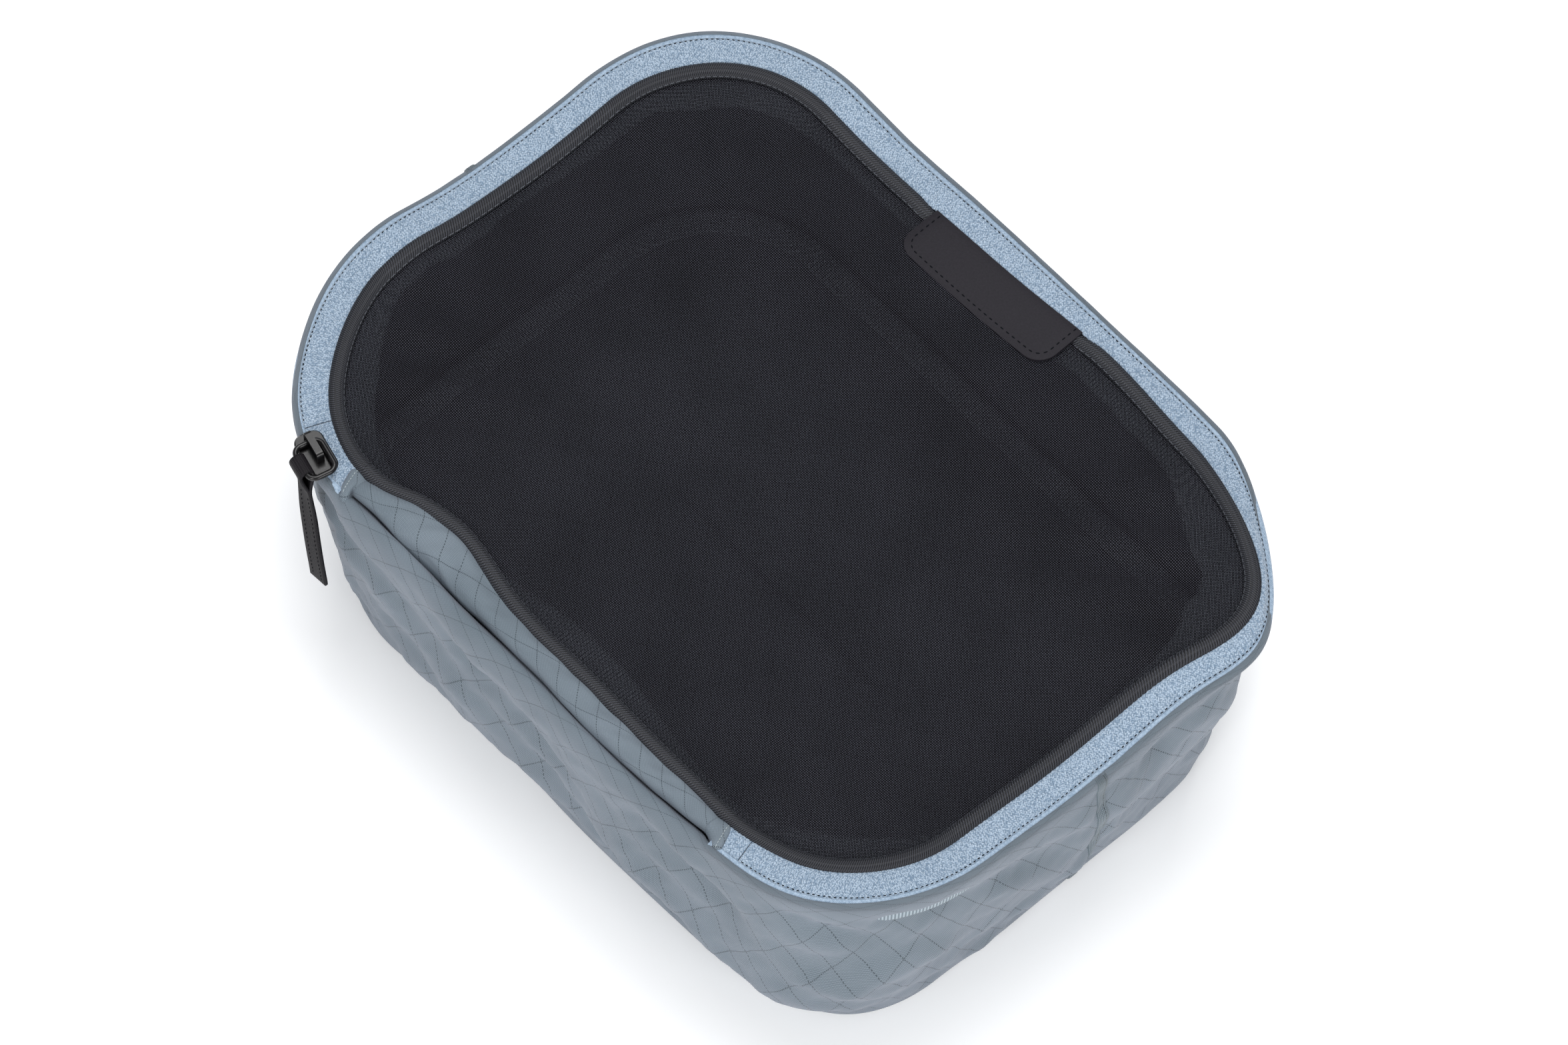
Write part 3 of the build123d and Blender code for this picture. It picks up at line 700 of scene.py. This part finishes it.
# ---------------------------------------------------------------- hinge end caps
# The strip's two ends are folded into small caps over the ends of the zip tape, and sewn
# down with a row of pale thread.
CAP_WIDE, CAP_DEEP, CAP_STAND = 0.0056, 0.0112, 0.0008
cap_cloth = ripstop("cap_ripstop", tilt=STRIP_TILT)
pale_thread = Finish("pale_thread", Roughness=0.55, Sheen_Weight=0.2)
pale_thread.colour(pale_thread.mix(pale_thread.grain(1500), (0.24, 0.29, 0.31, 1), (0.40, 0.45, 0.47, 1)))
cap_row = bmesh.new()
for cap_name, cap_side in (("left", -1), ("right", 1)):

    def cap_shape(across, back, side=cap_side):
        edge = across if side < 0 else CAP_WIDE - across
        x = side * (ZIP_GAP_X - 0.0008 + CAP_WIDE - edge)
        share = back / CAP_DEEP
        corner = 1 - 0.16 * (1 - min(1.0, edge / 0.0016)) ** 2
        inset = 0.0061 + 0.0110 * (share - 0.5) * corner
        height = 0.0790 + CAP_STAND * (1 - 0.9 * exp(-edge / 0.0004)) + 0.0004 * sin(pi * share)
        height -= 0.0022 * (1 - ease(share, 0.0, 0.24)) + 0.0008 * ease(share, 0.88, 1.0)
        height += 0.0003 * noise.noise(Vector((x * 260, back * 260, 1)))
        plain = Vector((inset, height))
        joined = curve_at(STRIP_RUN, 0.34 + 0.66 * share) - Vector((0, 0.0006))
        inset, height = plain.lerp(joined, ease(edge, 0.0024, CAP_WIDE - 0.0002))
        spot = settle(Vector((x, inset - WIDTH / 2, height)))
        spot.x += 0.0030 * (1 - share) * (1 - ease(edge, 0.0030, CAP_WIDE))
        return spot

    make(
        f"hinge_end_cap_{cap_name}_cloth", weave(14, 20, (CAP_WIDE, CAP_DEEP), cap_shape),
        cap_cloth, [f"hinge_end_cap_{cap_name}"], "body", thick=0.0004,
    )
    for step in range(8):
        back = 0.0016 + 0.00118 * step
        ends = [cap_shape(0.0016 if cap_side < 0 else CAP_WIDE - 0.0016, back + off) for off in (0.0, 0.0009)]
        stitch(cap_row, *(end + Vector((0, 0, 0.0001)) for end in ends), 0.0003)
make("hinge_cap_stitches", cap_row, pale_thread, ["hinge_cap_stitching"], "body")

# ---------------------------------------------------------------- lid: mesh panel
# Black woven mesh with open holes, held by the roll all round, with painted highlights on its
# strand crossings. With nothing inside to carry it, it hangs a little slack in the middle and
# pulls into faint folds from the corners.
MESH_PITCH, MESH_SAG = 0.00056, 0.0042
mesh_cloth = Finish("black_mesh", Roughness=0.55, Specular_IOR_Level=0.10)
mesh_x, mesh_y, _ = mesh_cloth.axes("Object")
strands = [mesh_cloth.calc("PINGPONG", axis, MESH_PITCH / 2) for axis in (mesh_x, mesh_y)]
holes = [mesh_cloth.calc("GREATER_THAN", strand, MESH_PITCH * 0.285) for strand in strands]
mesh_hole = mesh_cloth.calc("MULTIPLY", *holes)
mesh_round = mesh_cloth.calc("MULTIPLY_ADD", mesh_cloth.calc("MINIMUM", *strands), -2 / MESH_PITCH, 1.0)
# Painted highlight: the strand crossings are coloured lighter, as if their crowns caught the light; noise
# makes some brighter than others.
mesh_knots = mesh_cloth.calc("ADD", *strands)
mesh_highlight_spots = mesh_cloth.calc("LESS_THAN", mesh_knots, MESH_PITCH * 0.27)
mesh_uneven = mesh_cloth.calc("MULTIPLY_ADD", mesh_cloth.grain(40), 0.8, 0.5)
mesh_painted_highlight = mesh_cloth.calc("MULTIPLY", mesh_highlight_spots, mesh_uneven)
mesh_cloth.colour(mesh_cloth.mix(mesh_painted_highlight, (0.001, 0.001, 0.0018, 1), (0.104, 0.100, 0.130, 1)))
mesh_cloth.bump(mesh_round, 0.00015)
mesh_cloth.set(mesh_cloth.shader, {"Alpha": mesh_cloth.calc("MULTIPLY_ADD", mesh_hole, -0.94, 1.0)})


def mesh_sag(spot, share):
    slack = ease(share, 0.0, 0.75)
    held = ease(share, 0.02, 0.2)
    x, y = spot.x, spot.y
    height = spot.z - MESH_SAG * slack
    height += held * 0.0022 * noise.noise(Vector((x * 16 + y * 6, y * 20, 0.4)))
    height += held * 0.0009 * noise.noise(Vector((x * 34 - y * 30, (x + y) * 14, 2.9)))
    for corner_x, corner_y in ((-0.09, -0.06), (0.09, -0.06), (0.09, 0.06), (-0.09, 0.06)):
        off = Vector((x - corner_x, y - corner_y))
        across = off.dot(Vector((corner_y, -corner_x)).normalized())
        pull = hump(off.length, 0.006, 0.030)
        height += held * pull * 0.0010 * cos(tau * across / 0.017)
    return settle(Vector((x, y, height)))


mesh_panel = make(
    "mesh_panel_cloth",
    weave(320, 52, (ROUND, WIDTH / 2), spread(0.0135, 0.0781, mesh_sag)),
    mesh_cloth, ["mesh_panel"], "lid",
)

# ---------------------------------------------------------------- lid: rolled edge and binding
# The mesh's edge is wrapped in dark ribbed cloth, a plump roll all round with a line of thin
# thread along its inside. Grosgrain tape is sewn under it and shows through the mesh.
RIB_PITCH = 0.00082
ROLL_LINE = ((0.0106, 0.0782), (0.0110, 0.0793), (0.0120, 0.0800), (0.0133, 0.0802),
             (0.0146, 0.0798), (0.0154, 0.0790), (0.0157, 0.0784), (0.0150, 0.0778),
             (0.0132, 0.0775), (0.0114, 0.0777), (0.0106, 0.0782))
ROLL_WIDE = 0.0125
PATCH_HALF, PATCH_MIDDLE = 0.0285, -0.0015
BACK_MIDDLE = 2 * ARC + 1.5 * STRAIGHTS[0] + STRAIGHTS[1]
roll_cloth = Finish("rolled_edge", Roughness=0.48, Specular_IOR_Level=0.35)
roll_axes = roll_cloth.axes("UV")
roll_turn = roll_cloth.calc("MULTIPLY_ADD", roll_axes[1], -0.55, roll_axes[0])
roll_rib = roll_cloth.wave(roll_turn, RIB_PITCH, pi / 2)
roll_fine = roll_cloth.wave(roll_axes[1], 0.00045)
roll_tone = roll_cloth.calc("MULTIPLY", roll_rib, roll_cloth.calc("MULTIPLY_ADD", roll_fine, 0.5, 0.5))
roll_line = roll_cloth.calc("COMPARE", roll_axes[1], ROLL_WIDE * 0.50, 0.00013)
roll_shown = roll_cloth.calc("GREATER_THAN", roll_cloth.wave(roll_axes[0], 0.0024), 0.22)
roll_dash = roll_cloth.calc("MULTIPLY", roll_line, roll_shown)
roll_dark = roll_cloth.mix(roll_tone, (0.002, 0.002, 0.003, 1), (0.054, 0.058, 0.072, 1))
roll_cloth.colour(roll_cloth.mix(roll_dash, roll_dark, (0.13, 0.14, 0.16, 1)))
roll_cloth.bump(roll_tone, 0.00012)


def under_patch(along):
    """1 where the label patch presses the roll flat."""
    return 1 - ease(abs(along - BACK_MIDDLE + PATCH_MIDDLE), PATCH_HALF - 0.003, PATCH_HALF + 0.009)


def roll_ripple(along, share):
    top = 1 - ease(share, 0.55, 0.65)
    rib = 0.00011 * cos(tau * (along - 0.55 * share * ROLL_WIDE) / RIB_PITCH) * top
    lumps = 0.00035 * noise.noise(Vector((along * 45, share, 3.6))) * top
    pressed = 0.0015 * under_patch(along) * top
    return 0.0004 * noise.noise(Vector((along * 30, 2.0, 7.7))), rib + lumps - pressed


make(
    "lid_edge_roll_cloth",
    rim_band(0, ROUND, RIB_PITCH / 4, 10, ROLL_LINE, ROLL_WIDE, roll_ripple),
    roll_cloth, ["lid_edge_roll"], "lid",
)


def binding_hang(along, share):
    """The tape leans out flat at the corners and the hinge, and hangs steep elsewhere."""
    spot, _ = rim_spot(along, 0.0)
    flat = ease(abs(spot.x), 0.060, 0.110) * ease(abs(spot.y), 0.030, 0.080)
    flat = max(flat, (spot.y < -0.09) * hump(spot.x, 0.012, 0.038))
    wavy = 0.0013 * noise.noise(Vector((along * 48, 0.5, 1.1)))
    wavy += 0.0006 * noise.noise(Vector((along * 150, 2.5, 1.1)))
    reach = (0.0030 + 0.0062 * flat + wavy) * share
    return reach, -(0.0032 - 0.0022 * flat + wavy) * share * share


LID_SEAM_LINE = ((0.0125, 0.0772), (0.0140, 0.0770), (0.0150, 0.0767))
make(
    "lid_seam_grosgrain",
    rim_band(0, ROUND, 0.0016, 8, LID_SEAM_LINE, 0.009, binding_hang),
    grosgrain, ["lid_seam_binding"], "lid", thick=0.0006,
)

# ---------------------------------------------------------------- label patch
# A blank tab of soft charcoal rubber, rounded on its inner corners and sewn to the mesh on
# three sides; its outer edge is caught under the knit tape.
PATCH_DEEP, PATCH_CORNER = 0.0162, 0.006
PATCH_BACK = WIDTH / 2 - 0.0110
rubber = Finish("soft_rubber", Roughness=0.62, Specular_IOR_Level=0.2)
rubber_grain = rubber.grain(1700, 3)
rubber.colour(rubber.mix(rubber_grain, (0.009, 0.008, 0.011, 1), (0.018, 0.016, 0.022, 1)))
rubber.bump(rubber_grain, 0.00008, 0.7)


def patch_height(x, y):
    """The patch's upper face: it rides over the flattened roll and dips towards the mesh."""
    hollow = (1 - ((x - PATCH_MIDDLE) / PATCH_HALF) ** 2) * (1 - ease(y, 0.070, 0.083))
    return 0.0791 + 0.0004 * ease(y, 0.074, 0.084) - 0.0006 * hollow


def patch_outline(pulled_in):
    """The patch's edge seen from above, from its outer left corner round to its outer right."""
    half, front = PATCH_HALF - pulled_in, PATCH_BACK - PATCH_DEEP + pulled_in
    bend = PATCH_CORNER - pulled_in
    points = [Vector((PATCH_MIDDLE - half, PATCH_BACK, 0))]
    for middle, first in ((PATCH_MIDDLE - half + bend, pi), (PATCH_MIDDLE + half - bend, 1.5 * pi)):
        for step in range(9):
            turn = first + step * pi / 16
            points.append(Vector((middle + bend * cos(turn), front + bend + bend * sin(turn), 0)))
    points.append(Vector((PATCH_MIDDLE + half, PATCH_BACK, 0)))
    return points


patch = bmesh.new()
patch_face = patch.faces.new([patch.verts.new(point) for point in patch_outline(0)])
bmesh.ops.recalc_face_normals(patch, faces=[patch_face])
if patch_face.normal.z < 0:
    patch_face.normal_flip()
for offset in range(1, 12):
    bmesh.ops.bisect_plane(patch, geom=patch.verts[:] + patch.edges[:] + patch.faces[:],
                           plane_co=(PATCH_MIDDLE + (offset / 6 - 1) * PATCH_HALF, 0, 0), plane_no=(1, 0, 0))
for offset in range(1, 6):
    bmesh.ops.bisect_plane(patch, geom=patch.verts[:] + patch.edges[:] + patch.faces[:],
                           plane_co=(0, PATCH_BACK - offset * PATCH_DEEP / 6, 0), plane_no=(0, 1, 0))
for vertex in patch.verts:
    vertex.co.z = patch_height(vertex.co.x, vertex.co.y)
    vertex.co = settle(vertex.co)
make(
    "label_patch_rubber", patch, rubber, ["label_patch"], "lid",
    thick=0.0010, bevel=0.00032,
)

patch_row = bmesh.new()
seam_points = patch_outline(0.0021)
seam_left, dashes = 0.0008, []
for start, end in zip(seam_points, seam_points[1:]):
    run = (end - start).length
    at = seam_left
    while at < run:
        dashes.append(start.lerp(end, at / run))
        at += 0.00125 if len(dashes) % 2 else 0.0009
    seam_left = at - run
for start, end in zip(dashes[0::2], dashes[1::2]):
    for point in (start, end):
        point.z = patch_height(point.x, point.y) + 0.00002
    stitch(patch_row, settle(start), settle(end), 0.0004)
make("label_patch_stitches", patch_row, dark_thread, ["patch_stitching"], "lid")

# ---------------------------------------------------------------- slider and ring
# A die-cast slider with a bridge on its back, and a wire ring through the bridge. All three
# keep the plain shape they have in the frame, under black paint with a fine grain.
black_paint = Finish(
    "black_paint", Roughness=0.28, Specular_IOR_Level=0.35, Coat_Weight=0.1, Coat_Roughness=0.12,
)
paint_grain = black_paint.grain(1200, 3)
black_paint.colour(black_paint.mix(paint_grain, (0.001, 0.001, 0.0015, 1), (0.006, 0.0055, 0.006, 1)))
black_paint.bump(paint_grain, 0.00003, 0.5)
for node_name in ("slider_body", "slider_bridge", "pull_ring"):
    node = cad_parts[node_name]
    node.data.materials.clear()
    node.data.materials.append(black_paint.material)

# ---------------------------------------------------------------- zip end stops
# Small plastic blocks moulded over the coil at each end of the zip, one for each half. They
# lie under the tape, just outside the caps.
STOP_SIZE, STOP_IN, STOP_INSETS = (0.0013, 0.0016, 0.0012), 0.0035, (0.0018, 0.0043)
stops = bmesh.new()
for stop_along in (STRAIGHTS[0] + STOP_IN, ROUND - STOP_IN):
    for stop_inset in STOP_INSETS:
        stop_spot, stop_out = rim_spot(stop_along, stop_inset)
        stop_spot.z = COIL_HEIGHT
        stop_turn = Matrix.Rotation(stop_out.to_2d().angle_signed(Vector((1, 0))), 4, "Z")
        place = Matrix.Translation(settle(stop_spot)) @ stop_turn @ Matrix.Diagonal((*STOP_SIZE, 1))
        bmesh.ops.create_cube(stops, size=1, matrix=place)
make("zip_end_stop_blocks", stops, coil_plastic, ["zip_end_stops"], "body", bevel=0.0002)

# ---------------------------------------------------------------- pull strap
# Charcoal webbing doubled round the ring's outer limb, its two plies sewn flat together
# below it with two rows of stitches and cut at a slant at the end.
STRAP_WIDE, STRAP_DROP, STRAP_EYE, STRAP_HALF = 0.0065, 0.0492, 0.0024, 0.00048
SLIDER_TURN = radians(13.5)
STRAP_ALONG = Vector((cos(SLIDER_TURN), -sin(SLIDER_TURN), 0))
STRAP_OUT = Vector((-sin(SLIDER_TURN), -cos(SLIDER_TURN), 0))
ring_spot = Vector((-0.085346, -0.099791, 0.0805))
webbing = Finish("charcoal_webbing", Roughness=0.62, Specular_IOR_Level=0.2)
web_axes = webbing.axes("UV")
web_ribs = webbing.calc("MULTIPLY", webbing.wave(web_axes[0], 0.0007), webbing.wave(web_axes[1], 0.0005))
webbing.colour(webbing.mix(web_ribs, (0.004, 0.0035, 0.005, 1), (0.022, 0.018, 0.022, 1)))
webbing.bump(web_ribs, 0.0001)


def strap_spot(across, out, height):
    """A place on the strap, which sways a little on its way down."""
    drop = max(0.0, 0.0780 - height)
    sway = 0.0085 * ease(drop, -0.004, 0.048)
    turn = -0.24 * ease(drop, 0.002, 0.020)
    out += 0.0020 * ease(drop, 0.0, 0.040)
    place = Vector((ring_spot.x, ring_spot.y, height))
    place += (across * cos(turn) + sway) * STRAP_ALONG + (out + across * sin(turn)) * STRAP_OUT
    return place


def strap_shape(run, across):
    """Up one ply, round the eye and down the other. run is measured along the webbing."""
    slant = 0.0012 * (across / STRAP_WIDE)
    leg = STRAP_DROP - slant * 0.9
    bend = pi * STRAP_EYE / 2
    past = run - (STRAP_DROP + bend)
    if abs(past) < bend:
        angle = past / STRAP_EYE
        height = ring_spot.z + STRAP_EYE * cos(angle)
        return strap_spot(across - STRAP_WIDE / 2, STRAP_EYE * sin(angle), height)
    down = (abs(past) - bend) / STRAP_DROP * leg
    gap = STRAP_EYE + (STRAP_HALF - STRAP_EYE) * ease(down, 0.0, 0.010)
    return strap_spot(across - STRAP_WIDE / 2, copysign(gap, past), ring_spot.z - down)


strap_run = 2 * STRAP_DROP + pi * STRAP_EYE
strap = weave(110, 8, (strap_run, STRAP_WIDE), strap_shape)
make("pull_strap_webbing", strap, webbing, ["pull_strap"], "strap", thick=0.00085)

strap_row = bmesh.new()
for row_across in (-0.0017, 0.0019):
    for step in range(21):
        height = ring_spot.z - 0.0118 - 0.0017 * step
        ends = [strap_spot(row_across, STRAP_HALF + 0.00006, height - off) for off in (0.0, 0.0010)]
        stitch(strap_row, *ends, 0.0003, up=STRAP_OUT)
make("pull_strap_stitches", strap_row, dark_thread, ["strap_stitching"], "strap")
